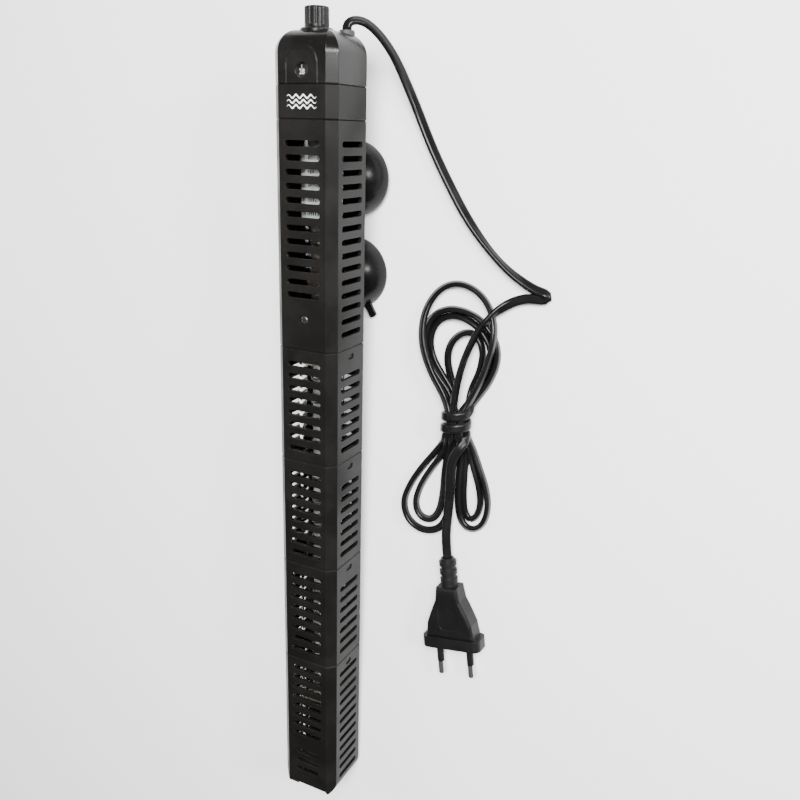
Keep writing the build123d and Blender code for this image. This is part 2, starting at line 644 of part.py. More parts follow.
def one_sleeve():
    """The insulating sleeve round a pin's root, thinner inside the plug."""
    outside = ring(PIN_RADIUS, PIN_STEM, 0, SLEEVE_LENGTH)
    return outside + ring(PIN_STEM + ROOT_WALL, PIN_STEM, -PIN_ROOT, 0)


# ---- Laying the heater down ----
def touch_points():
    """Lean and lift: the lower cup's rim and the foot's rounded back edge both touch the table."""
    rim_z = CUP_CENTRES[1] - CUP_RADIUS
    lean = 0.0
    for _ in range(20):
        foot_back = HALF - FOOT_ROUND_BACK * (1 - math.cos(lean))
        foot_z = FOOT_ROUND_BACK * (1 - math.sin(lean))
        lean = math.atan((RIM_BACK - foot_back) / (rim_z - foot_z))
    drop = RIM_BACK * math.cos(lean) - rim_z * math.sin(lean)
    return math.degrees(lean), drop


LEAN, LIFT = touch_points()
LEVEL = Pos(0, 0, LIFT) * Rot(X=LEAN) * Rot(X=-90)

nodes["cap_shell"] = make_cap()
nodes["dial_window"] = make_window()
nodes["knob_collar"] = make_collar()
nodes["shaft_o_ring"] = make_o_ring()
nodes["temperature_knob"] = make_knob()
nodes["knob_shaft"] = make_shaft()
nodes["dial_drum"] = make_dial_drum()
nodes["cable_gland"] = make_gland()
nodes["collar_band"] = make_band()
nodes["guard_upper"] = make_upper_guard()
for number, base in enumerate(reversed(SEGMENT_BASES), 1):
    nodes[f"guard_segment_{number}"] = make_segment(base)
nodes["guard_foot"] = make_foot()
nodes["guard_screw"] = make_screw()
nodes["quartz_tube"] = make_tube()
nodes["tube_cushion"] = make_cushion()
nodes["tube_stopper"] = make_stopper()
nodes["heater_core"] = make_core()
nodes["heating_winding"] = make_winding()
nodes["core_disc_lower"] = make_core_disc(CORE_BASE + 2)
nodes["core_disc_upper"] = make_core_disc(CORE_TOP - 2 - DISC_THICK)
nodes["tube_top_disc"] = make_top_disc()
nodes["thermostat_frame"] = make_thermostat_frame()
nodes["adjusting_plunger"] = make_plunger()
nodes["contact_block"] = make_contact_block()
nodes["bimetal_strip"] = make_bimetal()
nodes["contact_arm"] = make_contact_arm()
nodes["moving_contact"] = contact(-1.3, -0.6)
nodes["fixed_contact"] = contact(-0.3, PLATE_FRONT)
nodes["snap_magnet"] = block(-3, 3, -0.2, PLATE_FRONT, CONTACT_Z + 5, CONTACT_Z + 9)
nodes["suppressor_capacitor"] = rod(2.6, 330, 344, 0, PLATE_BACK + 2.6)
nodes["thermal_fuse"] = rod(1.8, 296, 308, -5, PLATE_BACK + 1.8)
nodes["indicator_lamp"] = rod(2.2, 292, 303, 0, PLATE_FRONT - 2.2)
nodes["tube_label"] = make_tube_label()
nodes["wire_live"] = make_wire(WIRE_LIVE, -WIRE_FOOT)
nodes["wire_neutral"] = make_wire(WIRE_NEUTRAL, WIRE_FOOT)
nodes["suction_cup_upper"] = make_cup(CUP_CENTRES[0], CUP_TAB_TURNS[0])
nodes["suction_cup_lower"] = make_cup(CUP_CENTRES[1], CUP_TAB_TURNS[1])

leaned = {name: LEVEL * shape for name, shape in nodes.items()}
boxes = [shape.bounding_box() for shape in leaned.values()]
MIDDLE_Y = (min(b.min.Y for b in boxes) + max(b.max.Y for b in boxes)) / 2
LAID = Pos(0, -MIDDLE_Y, 0) * LEVEL
laid = {name: Pos(0, -MIDDLE_Y, 0) * shape for name, shape in leaned.items()}

gland_end = (LAID * Pos(GLAND_X, GLAND_Y, CAP_TOP + GLAND_PROUD)).position
relief_end = (plug_place() * Pos(0, PLUG_BODY + PLUG_RELIEF, 0)).position
arch = [tuple(gland_end + Vector(*step)) for step in ARCH_STEPS]
laid["cord_lead"] = tube_along([tuple(gland_end)] + arch + LEAD_POINTS, CORD_RADIUS)
laid["cord_hank"] = make_hank()
laid["cord_tail"] = tube_along(TAIL_POINTS + [tuple(relief_end)], CORD_RADIUS)
laid["plug_strain_relief"] = make_plug_relief()
laid["plug_body"] = make_plug_body()
laid["plug_pins"] = Compound(plug_pin_pair(one_pin))
laid["pin_sleeves"] = Compound(plug_pin_pair(one_sleeve))

os.makedirs("parts", exist_ok=True)
for name, shape in laid.items():
    export_step(shape, f"parts/{name}.step")
print("nodes", len(laid), "lean", round(LEAN, 4), "lift", round(LIFT, 4), "middle_y", round(MIDDLE_Y, 4))
for label, place in (("gland end", gland_end), ("relief end", relief_end)):
    print(label, tuple(round(v, 2) for v in place))
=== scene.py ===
# %% [markdown]
# # A submersible aquarium heater
# The heater is a quartz tube inside a black, square, slotted guard. A cap with a temperature knob
# closes its top end, two suction cups sit behind it, and a flat lead leaves the cap, lies in a hank
# tied with its own end, and ends in a two-pin plug. It lies on its back, leaning on one cup.
# The hard parts come ready made from the CAD model. This lesson gives them their finishes, and
# makes what is soft or too fine for CAD: the lead, the heating wire and the printing.

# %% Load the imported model
import json
import math
import bpy
from mathutils import Matrix, Vector


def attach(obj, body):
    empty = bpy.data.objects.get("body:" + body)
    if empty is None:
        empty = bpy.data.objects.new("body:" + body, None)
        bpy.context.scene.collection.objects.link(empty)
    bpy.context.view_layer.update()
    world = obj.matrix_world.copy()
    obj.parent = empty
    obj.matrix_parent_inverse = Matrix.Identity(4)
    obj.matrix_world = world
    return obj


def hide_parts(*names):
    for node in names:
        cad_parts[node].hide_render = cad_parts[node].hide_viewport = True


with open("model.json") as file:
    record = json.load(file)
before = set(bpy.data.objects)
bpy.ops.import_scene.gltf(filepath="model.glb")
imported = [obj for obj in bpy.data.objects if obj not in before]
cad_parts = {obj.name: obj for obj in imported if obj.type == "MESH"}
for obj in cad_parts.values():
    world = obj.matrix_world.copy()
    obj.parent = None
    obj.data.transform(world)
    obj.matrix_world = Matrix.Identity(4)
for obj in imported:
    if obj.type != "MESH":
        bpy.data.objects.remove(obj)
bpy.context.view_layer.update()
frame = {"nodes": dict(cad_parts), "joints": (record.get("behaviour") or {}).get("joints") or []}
nodes = frame["nodes"]

# %% [markdown]
# ## One frame for everything on the tube
# The heater leans a few degrees, because the cup lifts its upper end. Positions along the tube are
# easier to think of upright, so this cell builds the matrix that turns upright tube coordinates
# (Z to the knob, Y to the back) into the leaning ones. The knob's own joint gives the tube's line.

# %% The tube's frame
MM = 0.001
KNOB_FRONT = 4 * MM          # the knob's axis stands in front of the tube's axis
KNOB_JOINT_Z = 440 * MM      # where the knob's joint lies along the tube
knob_joint = next(j for j in frame["joints"] if j["name"] == "knob_turn")
along = Vector(knob_joint["axis"]).normalized()
across = Vector((1, 0, 0))
back = along.cross(across)
turn = Matrix((across, back, along)).transposed()
start = Vector(knob_joint["pos_m"]) - turn @ Vector((0, -KNOB_FRONT, KNOB_JOINT_Z))
tube = Matrix.Translation(start) @ turn.to_4x4()
print("tube foot at", [round(v, 4) for v in start], "lean", round(math.degrees(math.asin(along.z)), 2))

SIDE = 36 * MM
CAP_BASE = 413 * MM
BAND_BASE = 397 * MM
WINDOW_Z = 419.3 * MM

# %% [markdown]
# ## Camera
# The heater is seen from above its right side, a little nearer to its cap, so that the cap looks
# large and the foot runs away from the eye. A lens of medium length keeps that taper natural.
# The camera looks along a line, and a small roll about it sets the horizon.

# %% Place the camera
EYE = Vector((0.2379, 0.1450, 0.4220))
LOOK = Vector((-0.4251, -0.2483, -0.8704))
CAMERA_RIGHT = Vector((0.8911, 0.0540, -0.4506))
LENS = 38.25
SENSOR = 36.0


def make_camera():
    data = bpy.data.cameras.new("camera")
    data.lens = LENS
    data.sensor_width = SENSOR
    data.clip_start = 0.01
    camera = bpy.data.objects.new("camera", data)
    bpy.context.scene.collection.objects.link(camera)
    behind = -LOOK.normalized()
    right = (CAMERA_RIGHT - behind * CAMERA_RIGHT.dot(behind)).normalized()
    up = behind.cross(right)
    camera.matrix_world = Matrix.Translation(EYE) @ Matrix((right, up, behind)).transposed().to_4x4()
    bpy.context.scene.camera = camera
    return camera


camera = make_camera()
print("camera", camera.name, "lens", camera.data.lens)

# %% [markdown]
# ## The lead's route
# The lead is one flat two-core cable, about 5.2 mm wide and 3.1 mm thick. It leaves the cap,
# arches over to the table, folds back sharply, and goes into the hank. A NURBS spline through a
# short list of given points gives it the smooth, springy line of a rubber cable.

# %% The stretch from the cap to the hank
CORD_WIDTH = 0.0052
CORD_THICK = 0.0031
EXIT = (0.0090, 0.2153, 0.03556)
LEAD = [
    EXIT, (0.0090, 0.2175, 0.0357), (0.0103, 0.2196, 0.0350), (0.0130, 0.2205, 0.0326),
    (0.0160, 0.2198, 0.0296), (0.0190, 0.2172, 0.0256), (0.0222, 0.2124, 0.0200),
    (0.0258, 0.2046, 0.0136), (0.0306, 0.1920, 0.0080), (0.0358, 0.1797, 0.0046),
    (0.0418, 0.1668, 0.0032), (0.0487, 0.1547, 0.0030), (0.0560, 0.1432, 0.0030),
    (0.0634, 0.1322, 0.0030), (0.0714, 0.1220, 0.0028), (0.0806, 0.1122, 0.0027),
    (0.0900, 0.1042, 0.0027), (0.0995, 0.0984, 0.0027), (0.1065, 0.0952, 0.0027),
    (0.1113, 0.0942, 0.0027), (0.1136, 0.0924, 0.0027), (0.1117, 0.0906, 0.0027),
    (0.1069, 0.0908, 0.0027), (0.1008, 0.0903, 0.0027), (0.0935, 0.0872, 0.0034),
    (0.0868, 0.0820, 0.0056), (0.0806, 0.0745, 0.0082), (0.0756, 0.0640, 0.0088),
    (0.0716, 0.0515, 0.0092), (0.0700, 0.0390, 0.0108),
]

# %% [markdown]
# ## The hank
# The hank has three lobes: one towards the cap and two towards the plug. Each turn leaves the tie
# on one side of a lobe and comes back on the other, standing on its thin edge. Each lobe's turns
# differ in size, as hand-wound cable does. Where one turn crosses another it rises over it.

# %% The turns of the hank
LOW = 0.0027                 # height of a turn that stands on the table
HIGH = 0.0081                # height of a turn that crosses another
BUNDLE_LOW = 0.0058          # the two layers of cable inside the tie
BUNDLE_HIGH = 0.0110
WAIST = 70.5                 # middle of the tie, in millimetres, and how far it draws the turns in
SQUEEZE = 0.62


def turn_points(outline, height):
    """One turn of a lobe: its outline in millimetres, at one height or at one height per point."""
    heights = height if isinstance(height, list) else [height] * len(outline)
    return [(x * MM, y * MM, z) for (x, y), z in zip(outline, heights)]


def through_tie(x_from, x_to, downwards, height):
    """The short run through the tie, from one lobe to the other, squeezed towards its middle."""
    ends = [(x_from, 26.0), (x_to, 14.0)] if downwards else [(x_from, 14.0), (x_to, 26.0)]
    return [((WAIST + (x - WAIST) * SQUEEZE) * MM, y * MM, height) for x, y in ends]


LEFT_OUTER = [(61.5, 6), (57, -1), (49.5, -11), (42.5, -23), (38.6, -35), (43, -45.5), (53, -49.5),
              (63, -46), (67.6, -36), (67.2, -22), (66.8, -8), (67.2, 5)]
LEFT_INNER = [(63.8, 5), (60.5, -3), (54, -13), (48.5, -24), (46.5, -34), (50, -41), (57, -42),
              (62, -36), (63.6, -24), (63.6, -10), (65.0, 4)]
RIGHT_OUTER = [(79, 6), (84, -5), (89, -16), (91.2, -27), (89, -37.5), (82.5, -42.5), (75.5, -39),
               (72.8, -28), (72.4, -14), (73, 4)]
RIGHT_INNER = [(77, 5), (80.5, -5), (84.5, -15), (86.6, -25), (85, -33), (81, -36.5), (77, -32.5),
               (75.6, -23), (75.2, -10), (75.2, 4)]
CROWN_OUTER = [(63, 34), (55, 42), (47.5, 52), (45.2, 63), (48.5, 74), (57, 80.5), (68, 80.8),
               (79, 76.5), (87.5, 67), (89.8, 56), (86, 44), (79.5, 34)]
CROWN_INNER = [(65, 35), (58, 43.5), (51.2, 53), (49, 63), (52, 72), (59, 76.8), (67.5, 77),
               (77, 72.8), (84, 65), (86, 56), (82.6, 45.5), (77.5, 35)]
CROWN_FAR = [(62, 34), (53, 46), (47, 60), (45.5, 74), (49, 86), (58, 94), (69, 94.5), (80, 88),
             (87, 77), (88, 65), (84.5, 49), (78, 34)]
CROWN_SMALL = [(66, 36), (62.5, 45), (60, 54), (62, 63), (68.5, 69), (76, 69), (81, 61), (80, 49),
               (75.5, 37)]
FAR_HEIGHTS = [HIGH, HIGH, HIGH, 0.0060, LOW, LOW, LOW, LOW, 0.0060, HIGH, HIGH, HIGH]

hank = through_tie(69.0, 63.0, True, BUNDLE_HIGH)
hank += turn_points(LEFT_OUTER, LOW)
hank += through_tie(67.0, 63.5, False, BUNDLE_LOW)
hank += turn_points(CROWN_OUTER, LOW)
hank += through_tie(78.0, 78.5, True, BUNDLE_LOW)
hank += turn_points(RIGHT_OUTER, LOW)
hank += through_tie(73.5, 66.0, False, BUNDLE_LOW)
hank += turn_points(CROWN_INNER, LOW)
hank += through_tie(75.0, 65.0, True, BUNDLE_HIGH)
hank += turn_points(LEFT_INNER, LOW)
hank += through_tie(68.0, 64.5, False, BUNDLE_HIGH)
hank += turn_points(CROWN_FAR, FAR_HEIGHTS)
hank += through_tie(77.0, 76.5, True, BUNDLE_HIGH)
hank += turn_points(RIGHT_INNER, LOW)
hank += through_tie(72.0, 68.5, False, BUNDLE_HIGH)
hank += turn_points(CROWN_SMALL, LOW)
print("points in the hank", len(hank))

# %% [markdown]
# ## The tie and the tail
# The cable's last stretch is wound twice round the hank's waist and then runs down between
# the two lower lobes to the plug. The windings are an ellipse's points in a loop, a little further
# along the waist each time.

# %% The windings of the tie and the tail
TIE_MIDDLE = (0.0705, 0.0084)
TIE_HALF_WIDTH = 0.0074
TIE_HALF_HEIGHT = 0.0066
TIE_TURNS = 2
TIE_START = 0.0262           # where along the waist the windings begin and end
TIE_END = 0.0130
POINTS_PER_TURN = 12

tie = []
for i in range(TIE_TURNS * POINTS_PER_TURN + 1):
    angle = 2 * math.pi * i / POINTS_PER_TURN
    share = i / (TIE_TURNS * POINTS_PER_TURN)
    x = TIE_MIDDLE[0] + TIE_HALF_WIDTH * math.cos(angle)
    z = TIE_MIDDLE[1] + TIE_HALF_HEIGHT * math.sin(angle)
    tie.append((x, TIE_START + (TIE_END - TIE_START) * share, z))

TAIL = [
    (0.0762, 0.0082, 0.0128), (0.0722, 0.0020, 0.0128), (0.0702, -0.0070, 0.0104),
    (0.0692, -0.0180, 0.0070), (0.0686, -0.0300, 0.0054), (0.0683, -0.0420, 0.0058),
    (0.0690, -0.0510, 0.0067), (0.07063, -0.06016, 0.00685),
]
route = LEAD + hank + tie + TAIL


def route_spline(points):
    """The route as a NURBS curve with no thickness: its line is what the cable follows."""
    data = bpy.data.curves.new("cord_route", "CURVE")
    data.dimensions = "3D"
    spline = data.splines.new("NURBS")
    spline.points.add(len(points) - 1)
    for place, point in zip(spline.points, points):
        place.co = (*point, 1)
    spline.order_u = 3
    spline.use_endpoint_u = True
    spline.resolution_u = 12
    curve = bpy.data.objects.new("cord_route", data)
    bpy.context.scene.collection.objects.link(curve)
    bpy.context.view_layer.update()
    evaluated = curve.evaluated_get(bpy.context.evaluated_depsgraph_get())
    mesh = bpy.data.meshes.new_from_object(evaluated)
    line = [v.co.copy() for v in mesh.vertices]
    bpy.data.meshes.remove(mesh)
    bpy.data.objects.remove(curve)
    return line


line = route_spline(route)
lengths = [0.0]
for a, b in zip(line, line[1:]):
    lengths.append(lengths[-1] + (b - a).length)
print("cord length", round(lengths[-1], 4), "points", len(line))

# %% [markdown]
# ## The flat cable
# A flat cable bends easily only across its thin side. So it lies flat where it runs straight, and
# stands on edge where it curves on the table. The sheath is an oval swept along the line, and a
# short table of angles says how far the oval has turned at each length. Between those angles the
# turn is eased, so that the cable twists as gently as a real one.

# %% Sweep the sheath
SHEATH_POINTS = 28
GROOVE_DEPTH = 0.14          # dip between the two cores, as a share of the thickness
GROOVE_WIDTH = 0.22          # its width, as a share of the cable's half width
STEP = 0.0016
LEAD_LENGTH = 0.240
TIE_FROM = lengths[min(range(len(line)), key=lambda i: (line[i] - Vector(tie[0])).length)]
TWIST = [
    (0.0, 30), (0.03, 34), (0.07, 16), (0.115, 10), (0.15, 48), (0.18, 14), (0.203, 4),
    (0.222, 70), (LEAD_LENGTH, 62), (TIE_FROM - 0.03, 62), (TIE_FROM + 0.01, 0),
    (lengths[-1] - 0.055, 0), (lengths[-1], 0),
]
LEANING = Vector((0.42, 0.25, 0.87))   # standing cable leans a little out to the side


def eased(table, place):
    """The table's value at a place, eased in and out between its entries."""
    for (a, low), (b, high) in zip(table, table[1:]):
        if place <= b:
            share = (place - a) / (b - a)
            return low + (high - low) * share * share * (3 - 2 * share)
    return table[-1][1]


def spaced_line(points, step):
    """The same line at even steps."""
    spaced = [points[0]]
    travelled = [0.0]
    carried = 0.0
    total = 0.0
    for a, b in zip(points, points[1:]):
        run = (b - a).length
        place = step - carried
        while place <= run:
            spaced.append(a.lerp(b, place / run))
            travelled.append(total + place)
            place += step
        carried = run - (place - step)
        total += run
    if (spaced[-1] - points[-1]).length > step / 4:
        spaced.append(points[-1])
        travelled.append(total)
    return spaced, travelled


def sheath_outline():
    """The flat cable's section: a superellipse, rounder than a bar and fuller than an oval."""
    outline = []
    for i in range(SHEATH_POINTS):
        angle = 2 * math.pi * i / SHEATH_POINTS
        c, s = math.cos(angle), math.sin(angle)
        wide = math.copysign(abs(c) ** 0.8, c) * CORD_WIDTH / 2
        groove = 1 - GROOVE_DEPTH * math.exp(-(c / GROOVE_WIDTH) ** 2)
        thick = math.copysign(abs(s) ** 0.8, s) * CORD_THICK / 2 * groove
        outline.append((wide, thick))
    return outline


def sweep_sheath(points, travelled):
    """A closed mesh tube along the points, its section turned by the twist table."""
    outline = sheath_outline()
    vertices = []
    faces = []
    for i, point in enumerate(points):
        ahead = (points[min(i + 1, len(points) - 1)] - points[max(i - 1, 0)]).normalized()
        level = ahead.cross(LEANING)
        level = level.normalized() if level.length > 0.2 else level
        winding = 1.0 if TIE_FROM < travelled[i] < lengths[-1] - 0.075 else 0.0
        if winding:
            level = Vector((0, 1, 0)) - ahead * ahead.y
        level.normalize()
        upright = level.cross(ahead).normalized()
        angle = math.radians(0 if winding else eased(TWIST, travelled[i]))
        wide = level * math.cos(angle) + upright * math.sin(angle)
        thick = ahead.cross(wide).normalized()
        vertices += [point + wide * u + thick * v for u, v in outline]
    rings = len(points)
    for ring in range(rings - 1):
        for i in range(SHEATH_POINTS):
            j = (i + 1) % SHEATH_POINTS
            low = ring * SHEATH_POINTS
            high = low + SHEATH_POINTS
            faces.append((low + i, low + j, high + j, high + i))
    faces.append(tuple(reversed(range(SHEATH_POINTS))))
    faces.append(tuple(range((rings - 1) * SHEATH_POINTS, rings * SHEATH_POINTS)))
    return vertices, faces


def mesh_object(name, vertices, faces, smooth=True):
    """A mesh piece from its points and faces."""
    mesh = bpy.data.meshes.new(name)
    mesh.from_pydata([tuple(v) for v in vertices], [], faces)
    mesh.validate()
    if smooth:
        mesh.shade_smooth()
    piece = bpy.data.objects.new(name, mesh)
    bpy.context.scene.collection.objects.link(piece)
    return piece


cord_points, cord_travel = spaced_line(line, STEP)
cord = mesh_object("flat_lead", *sweep_sheath(cord_points, cord_travel))
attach(cord, "root")
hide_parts("cord_lead", "cord_hank", "cord_tail")

# %% [markdown]
# ## Effects that several finishes share
# Moulded plastic is never one flat tone. Its mould leaves a fine grain, handling leaves faint
# dull patches, and its edges catch the light because they are never perfectly sharp. The edges
# are also painted paler: partly wear, and partly a painted highlight. Each of these effects is a
# node group, built once and placed in each material with its own values.

# %% Node group helpers
def new_group(name, inputs, outputs):
    """An empty shader node group with named sockets."""
    group = bpy.data.node_groups.new(name, "ShaderNodeTree")
    for label, value in inputs.items():
        socket = group.interface.new_socket(label, in_out="INPUT", socket_type="NodeSocketFloat")
        socket.default_value = value
    for label, kind in outputs.items():
        group.interface.new_socket(label, in_out="OUTPUT", socket_type=kind)
    entry = group.nodes.new("NodeGroupInput")
    leave = group.nodes.new("NodeGroupOutput")
    return group, entry, leave


def add(tree, kind, **values):
    """A node with its properties set; a value whose name is a socket goes to that socket."""
    node = tree.nodes.new("ShaderNode" + kind)
    for label, value in values.items():
        if hasattr(node, label):
            setattr(node, label, value)
        else:
            node.inputs[label.replace("_", " ")].default_value = value
    return node


def ramp(tree, source, low, high, out_low=0.0, out_high=1.0):
    """A smooth change from out_low to out_high as the source goes from low to high."""
    node = tree.nodes.new("ShaderNodeMapRange")
    node.interpolation_type = "SMOOTHSTEP"
    for label, value in (("From Min", low), ("From Max", high), ("To Min", out_low), ("To Max", out_high)):
        node.inputs[label].default_value = value
    tree.links.new(source, node.inputs["Value"])
    return node.outputs["Result"]


def maths(tree, operation, a, b=None):
    """One arithmetic step between sockets or numbers."""
    node = tree.nodes.new("ShaderNodeMath")
    node.operation = operation
    for place, value in enumerate((a, b)):
        if value is None:
            continue
        if isinstance(value, (int, float)):
            node.inputs[place].default_value = value
        else:
            tree.links.new(value, node.inputs[place])
    return node.outputs["Value"]


# %% [markdown]
# ### Mould grain
# Spark-eroded moulds print a fine, even grain on plastic. Two sizes of noise are enough: a fine one
# for the grain itself, and a broad one for the slow change in gloss from one place to the next.

# %% Build the mould grain
def build_mould_grain():
    group, entry, leave = new_group(
        "mould_grain", {"Grain Scale": 2600.0, "Patch Scale": 45.0, "Gloss Low": 0.3, "Gloss High": 0.5},
        {"Height": "NodeSocketFloat", "Roughness": "NodeSocketFloat", "Patch": "NodeSocketFloat"})
    place = group.nodes.new("ShaderNodeTexCoord")
    fine = add(group, "TexNoise", Detail=3.0, Roughness=0.6)
    broad = add(group, "TexNoise", Detail=4.0, Roughness=0.55, Distortion=0.4)
    group.links.new(place.outputs["Object"], fine.inputs["Vector"])
    group.links.new(place.outputs["Object"], broad.inputs["Vector"])
    group.links.new(entry.outputs["Grain Scale"], fine.inputs["Scale"])
    group.links.new(entry.outputs["Patch Scale"], broad.inputs["Scale"])
    patch = ramp(group, broad.outputs["Fac"], 0.35, 0.68)
    spread = group.nodes.new("ShaderNodeMapRange")
    group.links.new(patch, spread.inputs["Value"])
    group.links.new(entry.outputs["Gloss Low"], spread.inputs["To Min"])
    group.links.new(entry.outputs["Gloss High"], spread.inputs["To Max"])
    group.links.new(fine.outputs["Fac"], leave.inputs["Height"])
    group.links.new(spread.outputs["Result"], leave.inputs["Roughness"])
    group.links.new(patch, leave.inputs["Patch"])
    return group


mould_grain = build_mould_grain()

# %% [markdown]
# ### Edge wear and painted edge highlight
# Edges are painted a little paler. This is partly wear from boxes, gravel and fingers, and partly a
# painted highlight where the edges catch the light. A bevelled normal differs from the true one only
# near an edge, so comparing the two finds every edge, however the mesh is cut.
# Some noise breaks the pale tone up, so that it never runs as one even line.

# %% Build the edge wear and painted edge highlight
def build_edge_wear():
    group, entry, leave = new_group(
        "edge_wear_and_highlight", {"Width": 0.0004, "Break Scale": 320.0}, {"Mask": "NodeSocketFloat"})
    bevel = group.nodes.new("ShaderNodeBevel")
    bevel.samples = 6
    group.links.new(entry.outputs["Width"], bevel.inputs["Radius"])
    true_normal = group.nodes.new("ShaderNodeNewGeometry")
    compare = group.nodes.new("ShaderNodeVectorMath")
    compare.operation = "DOT_PRODUCT"
    group.links.new(bevel.outputs["Normal"], compare.inputs[0])
    group.links.new(true_normal.outputs["Normal"], compare.inputs[1])
    edge = ramp(group, compare.outputs["Value"], 0.99, 0.86)
    place = group.nodes.new("ShaderNodeTexCoord")
    noise = add(group, "TexNoise", Detail=5.0)
    group.links.new(place.outputs["Object"], noise.inputs["Vector"])
    group.links.new(entry.outputs["Break Scale"], noise.inputs["Scale"])
    broken = ramp(group, noise.outputs["Fac"], 0.38, 0.62, 0.25, 1.0)
    # The mask paints edges paler: partly wear, partly a painted edge highlight.
    group.links.new(maths(group, "MULTIPLY", edge, broken), leave.inputs["Mask"])
    return group


edge_wear_and_highlight = build_edge_wear()

# %% [markdown]
# ### Fine dust
# A dark object always shows the few specks of dust that lie on it. They settle on faces that look
# up, so the mask is sparse noise multiplied by how far the surface faces the ceiling.

# %% Build the fine dust
def build_fine_dust():
    group, entry, leave = new_group("fine_dust", {"Scale": 1500.0}, {"Mask": "NodeSocketFloat"})
    place = group.nodes.new("ShaderNodeTexCoord")
    specks = group.nodes.new("ShaderNodeTexVoronoi")
    specks.inputs["Randomness"].default_value = 1.0
    group.links.new(place.outputs["Object"], specks.inputs["Vector"])
    group.links.new(entry.outputs["Scale"], specks.inputs["Scale"])
    dot = ramp(group, specks.outputs["Distance"], 0.10, 0.04)
    some = group.nodes.new("ShaderNodeSeparateColor")
    group.links.new(specks.outputs["Color"], some.inputs["Color"])
    chosen = ramp(group, some.outputs["Red"], 0.90, 0.94)
    normal = group.nodes.new("ShaderNodeNewGeometry")
    split = group.nodes.new("ShaderNodeSeparateXYZ")
    group.links.new(normal.outputs["Normal"], split.inputs["Vector"])
    upward = ramp(group, split.outputs["Z"], 0.3, 0.9)
    mask = maths(group, "MULTIPLY", maths(group, "MULTIPLY", dot, chosen), upward)
    group.links.new(mask, leave.inputs["Mask"])
    return group


fine_dust = build_fine_dust()
print("node groups", [g.name for g in (mould_grain, edge_wear_and_highlight, fine_dust)])

# %% [markdown]
# ## Moulded plastic and rubber
# Guard, cap, knob, plug, cups and lead are all black, but no two of them the same black. One
# function builds them: it mixes a base tone with a second tone by the broad patches, adds a pale
# edge tone that is partly wear and partly a painted highlight, adds specks of dust, and rounds every
# edge with a bevelled normal under the grain.

# %% A function for black mouldings
def new_material(name):
    material = bpy.data.materials.new(name)
    material.use_nodes = True
    tree = material.node_tree
    shader = tree.nodes["Principled BSDF"]
    return material, tree, shader


def place_group(tree, group, **values):
    node = tree.nodes.new("ShaderNodeGroup")
    node.node_tree = group
    for label, value in values.items():
        node.inputs[label.replace("_", " ")].default_value = value
    return node


def mix_colours(tree, share, low, high):
    """A colour between two, by a mask; each end is a colour or a socket."""
    node = tree.nodes.new("ShaderNodeMix")
    node.data_type = "RGBA"
    tree.links.new(share, node.inputs["Factor"])
    for socket, value in ((node.inputs[6], low), (node.inputs[7], high)):
        if isinstance(value, (tuple, list)):
            socket.default_value = (*value, 1.0)
        else:
            tree.links.new(value, socket)
    return node.outputs[2]


# The pale edge tone stands for wear and also for a painted highlight on the edges.
EDGE_WEAR_AND_HIGHLIGHT = 0.0004           # how far wear reaches in from an edge
DUST_SCALE = 1500.0
DUST_TONE = (0.16, 0.155, 0.15)


def moulded(name, tone, second, worn_and_highlit, gloss, grain=0.00002, grain_scale=2600.0, edge=0.0003,
            specular=0.5):
    """A moulded plastic or rubber: gloss is the lowest and highest roughness."""
    material, tree, shader = new_material(name)
    skin = place_group(tree, mould_grain, Grain_Scale=grain_scale, Gloss_Low=gloss[0], Gloss_High=gloss[1])
    worn_and_highlit_edge = place_group(tree, edge_wear_and_highlight, Width=EDGE_WEAR_AND_HIGHLIGHT)
    specks = place_group(tree, fine_dust, Scale=DUST_SCALE)
    colour = mix_colours(tree, skin.outputs["Patch"], tone, second)
    # Paler edges: partly wear, partly a painted edge highlight.
    colour = mix_colours(tree, worn_and_highlit_edge.outputs["Mask"], colour, worn_and_highlit)
    colour = mix_colours(tree, specks.outputs["Mask"], colour, DUST_TONE)
    tree.links.new(colour, shader.inputs["Base Color"])
    tree.links.new(skin.outputs["Roughness"], shader.inputs["Roughness"])
    soft_edge = tree.nodes.new("ShaderNodeBevel")
    soft_edge.samples = 6
    soft_edge.inputs["Radius"].default_value = edge
    bump = tree.nodes.new("ShaderNodeBump")
    bump.inputs["Distance"].default_value = grain
    bump.inputs["Strength"].default_value = 1.0
    tree.links.new(skin.outputs["Height"], bump.inputs["Height"])
    tree.links.new(soft_edge.outputs["Normal"], bump.inputs["Normal"])
    tree.links.new(bump.outputs["Normal"], shader.inputs["Normal"])
    shader.inputs["Specular IOR Level"].default_value = specular
    return material


# %% [markdown]
# ## The black finishes
# The guard is a filled nylon with a dull silk gloss. The cap and knob come from a polished mould.
# The cups are soft rubber, which is darker and has a broad sheen. The lead's sheath is a smooth,
# slightly oily rubber, and the plug is a hard, finely grained vinyl.

# %% Make and place the black finishes
def finish_nodes(material, *names):
    """Give CAD nodes a material in every one of their slots."""
    for name in names:
        node = nodes[name]
        if not node.material_slots:
            node.data.materials.append(material)
        for place in node.material_slots:
            place.material = material


